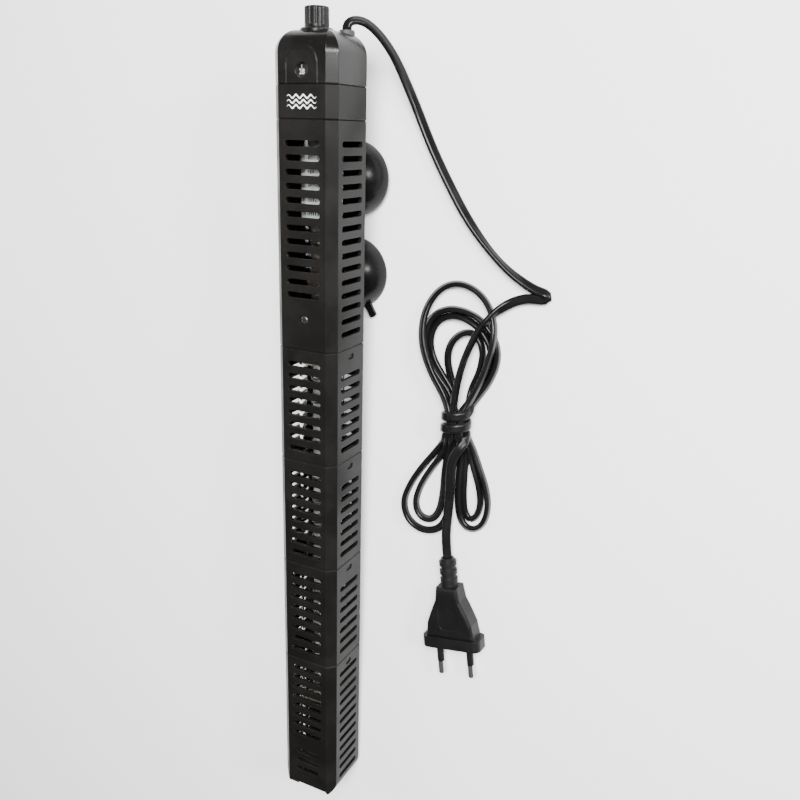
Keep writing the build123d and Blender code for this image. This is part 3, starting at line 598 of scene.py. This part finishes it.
# Each third colour below is the pale edge tone: wear together with a painted edge highlight.
guard_black = moulded("guard_black", (0.0048, 0.0045, 0.0042), (0.0070, 0.0065, 0.0060),
                      (0.022, 0.0205, 0.019), (0.32, 0.44), grain=0.000012, edge=0.00035, specular=0.11)
cap_black = moulded("cap_black", (0.0048, 0.0045, 0.0042), (0.0070, 0.0066, 0.0062),
                    (0.022, 0.0205, 0.019), (0.20, 0.30), grain=0.000008, edge=0.0005, specular=0.17)
knob_black = moulded("knob_black", (0.0045, 0.0044, 0.0043), (0.0065, 0.0063, 0.0060),
                     (0.022, 0.021, 0.020), (0.20, 0.32), grain=0.000008, edge=0.0004, specular=0.14)
cup_rubber = moulded("cup_rubber", (0.0030, 0.0030, 0.0032), (0.0045, 0.0045, 0.0047),
                     (0.009, 0.009, 0.009), (0.20, 0.32),
                     grain=0.000014, grain_scale=1400.0, edge=0.0004, specular=0.15)
seal_rubber = moulded("seal_rubber", (0.016, 0.016, 0.016), (0.022, 0.022, 0.022),
                      (0.045, 0.045, 0.045), (0.50, 0.66), grain=0.00002, edge=0.0002)
lead_rubber = moulded("lead_rubber", (0.0042, 0.0042, 0.0044), (0.0062, 0.0062, 0.0064),
                      (0.010, 0.010, 0.010), (0.20, 0.32),
                      grain=0.00001, grain_scale=1800.0, edge=0.0001, specular=0.15)
plug_vinyl = moulded("plug_vinyl", (0.0045, 0.0045, 0.0047), (0.0065, 0.0065, 0.0067),
                     (0.014, 0.014, 0.014), (0.36, 0.50),
                     grain=0.00003, grain_scale=1900.0, edge=0.0004, specular=0.14)
finish_nodes(guard_black, "collar_band", "guard_upper", "guard_segment_1", "guard_segment_2",
             "guard_segment_3", "guard_foot")
finish_nodes(cap_black, "cap_shell")
finish_nodes(knob_black, "temperature_knob", "knob_collar")
finish_nodes(cup_rubber, "suction_cup_upper", "suction_cup_lower")
finish_nodes(seal_rubber, "shaft_o_ring", "cable_gland", "tube_cushion", "tube_stopper")
finish_nodes(plug_vinyl, "plug_body", "plug_strain_relief", "pin_sleeves")
cord.data.materials.append(lead_rubber)

# %% [markdown]
# ## Metals
# The plug's pins are nickel-plated brass, turned on a lathe, so fine rings run round them. The
# thermostat's plate and the screw are plated steel, rolled or headed, with a fine streaked grain.
# Both come from one function: noise stretched along one direction makes the streaks.

# %% A function for metals
METAL_GRAIN = 0.00001


def metal(name, tone, second, gloss, streak=(1.0, 1.0, 1.0), scale=900.0):
    """A bare or plated metal; streak stretches its grain."""
    material, tree, shader = new_material(name)
    place = tree.nodes.new("ShaderNodeTexCoord")
    stretch = tree.nodes.new("ShaderNodeMapping")
    stretch.inputs["Scale"].default_value = streak
    noise = add(tree, "TexNoise", Scale=scale, Detail=4.0)
    tree.links.new(place.outputs["Object"], stretch.inputs["Vector"])
    tree.links.new(stretch.outputs["Vector"], noise.inputs["Vector"])
    tree.links.new(mix_colours(tree, noise.outputs["Fac"], tone, second), shader.inputs["Base Color"])
    tree.links.new(ramp(tree, noise.outputs["Fac"], 0.3, 0.7, *gloss), shader.inputs["Roughness"])
    bump = tree.nodes.new("ShaderNodeBump")
    bump.inputs["Distance"].default_value = METAL_GRAIN
    tree.links.new(noise.outputs["Fac"], bump.inputs["Height"])
    tree.links.new(bump.outputs["Normal"], shader.inputs["Normal"])
    shader.inputs["Metallic"].default_value = 1.0
    return material


nickel = metal("nickel_plate", (0.74, 0.72, 0.68), (0.84, 0.82, 0.79), (0.14, 0.26), (1, 6, 1), 700.0)
steel = metal("plated_steel", (0.50, 0.50, 0.49), (0.66, 0.66, 0.65), (0.22, 0.38), (6, 1, 6), 600.0)
screw_steel = metal("blackened_screw", (0.10, 0.10, 0.10), (0.17, 0.17, 0.16), (0.25, 0.42), scale=1500.0)
copper = metal("rolled_strip", (0.26, 0.21, 0.17), (0.38, 0.31, 0.25), (0.28, 0.44), (8, 1, 8), 500.0)
resistance_wire = metal("resistance_wire", (0.20, 0.18, 0.16), (0.32, 0.29, 0.26), (0.35, 0.55))
finish_nodes(nickel, "plug_pins")
finish_nodes(steel, "knob_shaft", "thermostat_frame", "adjusting_plunger", "snap_magnet")
finish_nodes(screw_steel, "guard_screw")
finish_nodes(copper, "bimetal_strip", "contact_arm", "moving_contact", "fixed_contact")

# %% [markdown]
# ## Glass, ceramic, mica and the small parts
# The quartz tube is clear and thick, so it needs real transmission, with a few drawn streaks in its
# gloss. The dial's lens is a thin plate over print, so it is mostly see-through and only its gloss
# shows. Ceramic and mica are dull, with a fine speckle.

# %% Make and place the clear and dull finishes
def clear(name, tone, ior, gloss, weight=1.0):
    """A clear glass with faint drawn streaks in its gloss."""
    material, tree, shader = new_material(name)
    place = tree.nodes.new("ShaderNodeTexCoord")
    stretch = tree.nodes.new("ShaderNodeMapping")
    stretch.inputs["Scale"].default_value = (8, 0.5, 8)
    noise = add(tree, "TexNoise", Scale=90.0, Detail=3.0)
    tree.links.new(place.outputs["Object"], stretch.inputs["Vector"])
    tree.links.new(stretch.outputs["Vector"], noise.inputs["Vector"])
    tree.links.new(ramp(tree, noise.outputs["Fac"], 0.35, 0.75, *gloss), shader.inputs["Roughness"])
    shader.inputs["Base Color"].default_value = (*tone, 1)
    shader.inputs["Transmission Weight"].default_value = weight
    shader.inputs["IOR"].default_value = ior
    return material


SPECK_SCALE = 1400.0
SPECK_PATCH = 120.0
SPECK_DEPTH = 0.00004


def speckled(name, tone, second, gloss):
    """A dull ceramic, mica or lacquer with a fine speckle."""
    material, tree, shader = new_material(name)
    skin = place_group(tree, mould_grain, Grain_Scale=SPECK_SCALE, Patch_Scale=SPECK_PATCH,
                       Gloss_Low=gloss[0], Gloss_High=gloss[1])
    speck = ramp(tree, skin.outputs["Height"], 0.42, 0.62)
    colour = mix_colours(tree, speck, tone, second)
    tree.links.new(colour, shader.inputs["Base Color"])
    tree.links.new(skin.outputs["Roughness"], shader.inputs["Roughness"])
    bump = tree.nodes.new("ShaderNodeBump")
    bump.inputs["Distance"].default_value = SPECK_DEPTH
    tree.links.new(skin.outputs["Height"], bump.inputs["Height"])
    tree.links.new(bump.outputs["Normal"], shader.inputs["Normal"])
    return material


quartz = clear("clear_quartz", (0.96, 0.98, 0.98), 1.46, (0.01, 0.05))
window_glass = clear("window_clear", (0.02, 0.02, 0.02), 1.49, (0.02, 0.05), 0.0)
window_glass.node_tree.nodes["Principled BSDF"].inputs["Alpha"].default_value = 0.14
lamp_glass = clear("lamp_glass", (1.0, 0.55, 0.35), 1.3, (0.05, 0.12), 0.7)
ceramic = speckled("core_ceramic", (0.70, 0.68, 0.62), (0.80, 0.78, 0.73), (0.55, 0.75))
mica = speckled("pressed_mica", (0.42, 0.36, 0.26), (0.60, 0.54, 0.42), (0.35, 0.6))
lacquer = speckled("lacquered_part", (0.30, 0.20, 0.06), (0.40, 0.28, 0.10), (0.2, 0.35))
silicone = speckled("wire_silicone", (0.72, 0.72, 0.69), (0.80, 0.80, 0.77), (0.4, 0.55))
dial_black = speckled("dial_black", (0.010, 0.010, 0.010), (0.016, 0.016, 0.016), (0.35, 0.5))
finish_nodes(quartz, "quartz_tube")
finish_nodes(window_glass, "dial_window")
finish_nodes(lamp_glass, "indicator_lamp")
phenolic = speckled("phenolic_block", (0.055, 0.038, 0.028), (0.085, 0.060, 0.045), (0.35, 0.5))
finish_nodes(ceramic, "heater_core")
finish_nodes(phenolic, "contact_block")
finish_nodes(mica, "core_disc_lower", "core_disc_upper", "tube_top_disc")
finish_nodes(lacquer, "suppressor_capacitor", "thermal_fuse")
finish_nodes(silicone, "wire_live", "wire_neutral")
finish_nodes(dial_black, "dial_drum")

# %% [markdown]
# ## Printed card in the tube
# A white card just inside the quartz shows as bright bars between the guard's slots. Only its right
# part is white; the rest is a dark wrap. Rows of short ticks cross the white part, a few
# millimetres apart, as on a measuring scale.

# %% Print the card
CARD_LEFT = -5.5 * MM
CARD_LOW = 348 * MM
CARD_HIGH = 382 * MM
TICK_PITCH = 1.15 * MM
TICK_ROW_PITCH = 6.8 * MM


def printed_card():
    material, tree, shader = new_material("printed_card")
    place = tree.nodes.new("ShaderNodeTexCoord")
    split = tree.nodes.new("ShaderNodeSeparateXYZ")
    tree.links.new(place.outputs["Object"], split.inputs["Vector"])
    low = (tube @ Vector((0, 0, CARD_LOW))).y
    high = (tube @ Vector((0, 0, CARD_HIGH))).y
    side = ramp(tree, split.outputs["X"], CARD_LEFT, CARD_LEFT + 0.2 * MM)
    above = ramp(tree, split.outputs["Y"], low, low + 0.2 * MM)
    below = ramp(tree, split.outputs["Y"], high, high - 0.2 * MM)
    white = maths(tree, "MULTIPLY", side, maths(tree, "MULTIPLY", above, below))
    ticks = maths(tree, "FRACT", maths(tree, "MULTIPLY", split.outputs["X"], 1 / TICK_PITCH))
    rows = maths(tree, "FRACT", maths(tree, "MULTIPLY", split.outputs["Y"], 1 / TICK_ROW_PITCH))
    in_row = maths(tree, "MULTIPLY", ramp(tree, rows, 0.52, 0.56), ramp(tree, rows, 0.80, 0.76))
    some = add(tree, "TexNoise", Scale=190.0, Detail=0.0)
    tree.links.new(place.outputs["Object"], some.inputs["Vector"])
    kept = ramp(tree, some.outputs["Fac"], 0.47, 0.50)
    ink = maths(tree, "MULTIPLY", ramp(tree, ticks, 0.50, 0.58), maths(tree, "MULTIPLY", in_row, kept))
    skin = place_group(tree, mould_grain, Grain_Scale=1200.0, Gloss_Low=0.4, Gloss_High=0.6)
    paper = mix_colours(tree, skin.outputs["Patch"], (0.80, 0.80, 0.78), (0.88, 0.88, 0.86))
    paper = mix_colours(tree, ink, paper, (0.03, 0.03, 0.03))
    tree.links.new(mix_colours(tree, white, (0.012, 0.012, 0.012), paper), shader.inputs["Base Color"])
    tree.links.new(skin.outputs["Roughness"], shader.inputs["Roughness"])
    return material


card = printed_card()
finish_nodes(card, "tube_label")

# %% [markdown]
# ## The heating wire
# CAD holds the winding's envelope. Here it is the real thing: one long helix of resistance wire,
# swept as a thin tube round the ceramic core from one mica disc to the other.

# %% Wind the heating wire
WIRE_RADIUS = 0.45 * MM
HELIX_RADIUS = 5.55 * MM
HELIX_BOTTOM = 62 * MM
HELIX_TOP = 269 * MM
HELIX_TURNS = 46
HELIX_STEPS = 28


def wind_wire():
    data = bpy.data.curves.new("heating_wire", "CURVE")
    data.dimensions = "3D"
    data.bevel_depth = WIRE_RADIUS
    data.bevel_resolution = 2
    spline = data.splines.new("POLY")
    count = HELIX_TURNS * HELIX_STEPS + 1
    spline.points.add(count - 1)
    for i, place in enumerate(spline.points):
        angle = 2 * math.pi * i / HELIX_STEPS
        height = HELIX_BOTTOM + (HELIX_TOP - HELIX_BOTTOM) * i / (count - 1)
        point = tube @ Vector((HELIX_RADIUS * math.cos(angle), HELIX_RADIUS * math.sin(angle), height))
        place.co = (*point, 1)
    wire = bpy.data.objects.new("heating_wire", data)
    bpy.context.scene.collection.objects.link(wire)
    wire.data.materials.append(resistance_wire)
    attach(wire, "root")
    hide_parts("heating_winding")
    return wire


wind_wire()
print("heating wire turns", HELIX_TURNS)

# %% [markdown]
# ## The dial's print
# Behind the round window the drum shows its setting in white: a number for every second degree and a
# tick above it. Each number is a text, made into a mesh and bent round the drum. The drum turns with the
# knob, so its print rides on the knob's body.

# %% Print the drum
DRUM_RADIUS = 11 * MM
PRINT_LIFT = 0.06 * MM
DIAL_LOW = 20
DIAL_HIGH = 34
DIAL_REST = 28
DIAL_STEP = 2
DEGREES_APART = 18
SET_OFF = -9                 # the figures are printed half a degree Celsius round the drum
NUMBER_HEIGHT = 3.4 * MM
NUMBER_DROP = 0.75 * MM      # from the window's middle down to the middle of a figure
TICK_HALF = 0.22 * MM
TICK_LOW = 0.9 * MM
TICK_HIGH = 2.5 * MM
print_white, print_tree, print_shader = new_material("print_white")
print_skin = place_group(print_tree, mould_grain, Grain_Scale=4000.0, Gloss_Low=0.35, Gloss_High=0.55)
print_tone = mix_colours(print_tree, print_skin.outputs["Patch"], (0.80, 0.80, 0.78), (0.90, 0.90, 0.88))
print_tree.links.new(print_tone, print_shader.inputs["Base Color"])
print_tree.links.new(print_skin.outputs["Roughness"], print_shader.inputs["Roughness"])


def text_mesh(words, size):
    """A flat mesh of a few figures, centred on its own origin."""
    data = bpy.data.curves.new("figures", "FONT")
    data.body = words
    data.size = size
    data.align_x = "CENTER"
    data.align_y = "CENTER"
    data.resolution_u = 6
    data.offset = size * 0.018
    piece = bpy.data.objects.new("figures", data)
    bpy.context.scene.collection.objects.link(piece)
    bpy.context.view_layer.update()
    mesh = bpy.data.meshes.new_from_object(piece.evaluated_get(bpy.context.evaluated_depsgraph_get()))
    points = [v.co.copy() for v in mesh.vertices]
    faces = [tuple(p.vertices) for p in mesh.polygons]
    bpy.data.objects.remove(piece)
    bpy.data.meshes.remove(mesh)
    return points, faces


def on_drum(x, y, angle):
    """A flat print position wrapped onto the drum, at an angle round the knob's axis."""
    reach = DRUM_RADIUS + PRINT_LIFT
    round_to = math.radians(angle) + x / reach
    place = Vector((reach * math.sin(round_to), -KNOB_FRONT - reach * math.cos(round_to), WINDOW_Z + y))
    return tube @ place


def print_dial():
    vertices = []
    faces = []
    for degree in range(DIAL_LOW, DIAL_HIGH + 1, DIAL_STEP):
        angle = (degree - DIAL_REST) * DEGREES_APART + SET_OFF
        points, shapes = text_mesh(str(degree), NUMBER_HEIGHT)
        tick = [(-TICK_HALF, TICK_LOW), (TICK_HALF, TICK_LOW)]
        tick += [(TICK_HALF, TICK_HIGH), (-TICK_HALF, TICK_HIGH)]
        base = len(vertices)
        vertices += [on_drum(p.x, p.y - NUMBER_DROP, angle) for p in points]
        faces += [tuple(base + i for i in shape) for shape in shapes]
        base = len(vertices)
        vertices += [on_drum(x, y, angle) for x, y in tick]
        faces.append(tuple(base + i for i in range(4)))
    piece = mesh_object("dial_figures", vertices, faces, smooth=False)
    piece.data.materials.append(print_white)
    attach(piece, "knob")
    return piece


print_dial()
print("figures from", DIAL_LOW, "to", DIAL_HIGH)

# %% [markdown]
# ## The mark on the band
# The band carries a small white print on its front. Here it is a plain sign for water: three rows
# of waves. Each wave is a ribbon a fraction of a millimetre high that follows a sine curve.

# %% Print the waves
WAVE_LENGTH = 4.2 * MM
WAVE_HEIGHT = 0.75 * MM
WAVE_LINE = 0.42 * MM
WAVE_ROWS = 3
WAVE_ROW_GAP = 2.3 * MM
WAVE_HALF_WIDTH = 8.4 * MM
WAVE_STEPS = 72


def print_waves():
    vertices = []
    faces = []
    front = -SIDE / 2 - PRINT_LIFT
    middle = (BAND_BASE + CAP_BASE) / 2
    for row in range(WAVE_ROWS):
        base_z = middle + (row - (WAVE_ROWS - 1) / 2) * WAVE_ROW_GAP
        base = len(vertices)
        for i in range(WAVE_STEPS + 1):
            x = -WAVE_HALF_WIDTH + 2 * WAVE_HALF_WIDTH * i / WAVE_STEPS
            z = base_z + WAVE_HEIGHT * math.sin(2 * math.pi * x / WAVE_LENGTH)
            taper = min(1.0, 4 * min(i, WAVE_STEPS - i) / WAVE_STEPS + 0.15)
            vertices.append(tube @ Vector((x, front, z - WAVE_LINE * taper)))
            vertices.append(tube @ Vector((x, front, z + WAVE_LINE * taper)))
        for i in range(WAVE_STEPS):
            a = base + 2 * i
            faces.append((a, a + 2, a + 3, a + 1))
    piece = mesh_object("water_mark", vertices, faces, smooth=False)
    piece.data.materials.append(print_white)
    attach(piece, "root")
    return piece


print_waves()
print("wave rows", WAVE_ROWS)

# %% [markdown]
# ## Floor and light
# The floor is a plain pale sheet. One large soft light hangs high above the heater, beyond its cap
# and to the right. A small one low on the right draws the highlight on the cap's slanted edge, and a
# weak one fills the left. The right side of the guard mirrors the pale floor.

# %% Build the studio
FLOOR_SIZE = 6.0
AMBIENT = 0.12               # strength of the even light from all round


def soft_light(name, place, target, size, power):
    data = bpy.data.lights.new(name, "AREA")
    data.shape = "RECTANGLE"
    data.size, data.size_y = size
    data.energy = power
    lamp = bpy.data.objects.new(name, data)
    bpy.context.scene.collection.objects.link(lamp)
    lamp.location = place
    lamp.rotation_euler = (Vector(target) - Vector(place)).to_track_quat("-Z", "Y").to_euler()
    return lamp


def make_floor():
    half = FLOOR_SIZE / 2
    corners = [(-half, -half, 0), (half, -half, 0), (half, half, 0), (-half, half, 0)]
    floor = mesh_object("studio_floor", corners, [(0, 1, 2, 3)], smooth=False)
    material, tree, shader = new_material("pale_floor")
    place = tree.nodes.new("ShaderNodeTexCoord")
    noise = add(tree, "TexNoise", Scale=3.0, Detail=4.0)
    tree.links.new(place.outputs["Object"], noise.inputs["Vector"])
    paper = mix_colours(tree, noise.outputs["Fac"], (0.88, 0.88, 0.88), (0.91, 0.91, 0.91))
    tree.links.new(paper, shader.inputs["Base Color"])
    shader.inputs["Roughness"].default_value = 0.7
    shader.inputs["Specular IOR Level"].default_value = 0.2
    floor.data.materials.append(material)


make_floor()
middle = (0.02, 0.05, 0.03)
soft_light("high_key", (0.50, 0.60, 1.25), middle, (0.6, 0.8), 80)
soft_light("right_strip", (0.95, 0.40, 0.58), (0.0, 0.2, 0.03), (0.22, 0.22), 10)
soft_light("left_fill", (-1.1, 0.1, 0.45), middle, (0.5, 1.4), 8)
world = bpy.data.worlds.new("studio_world")
world.use_nodes = True
world.node_tree.nodes["Background"].inputs["Color"].default_value = (1, 1, 1, 1)
world.node_tree.nodes["Background"].inputs["Strength"].default_value = AMBIENT
bpy.context.scene.world = world
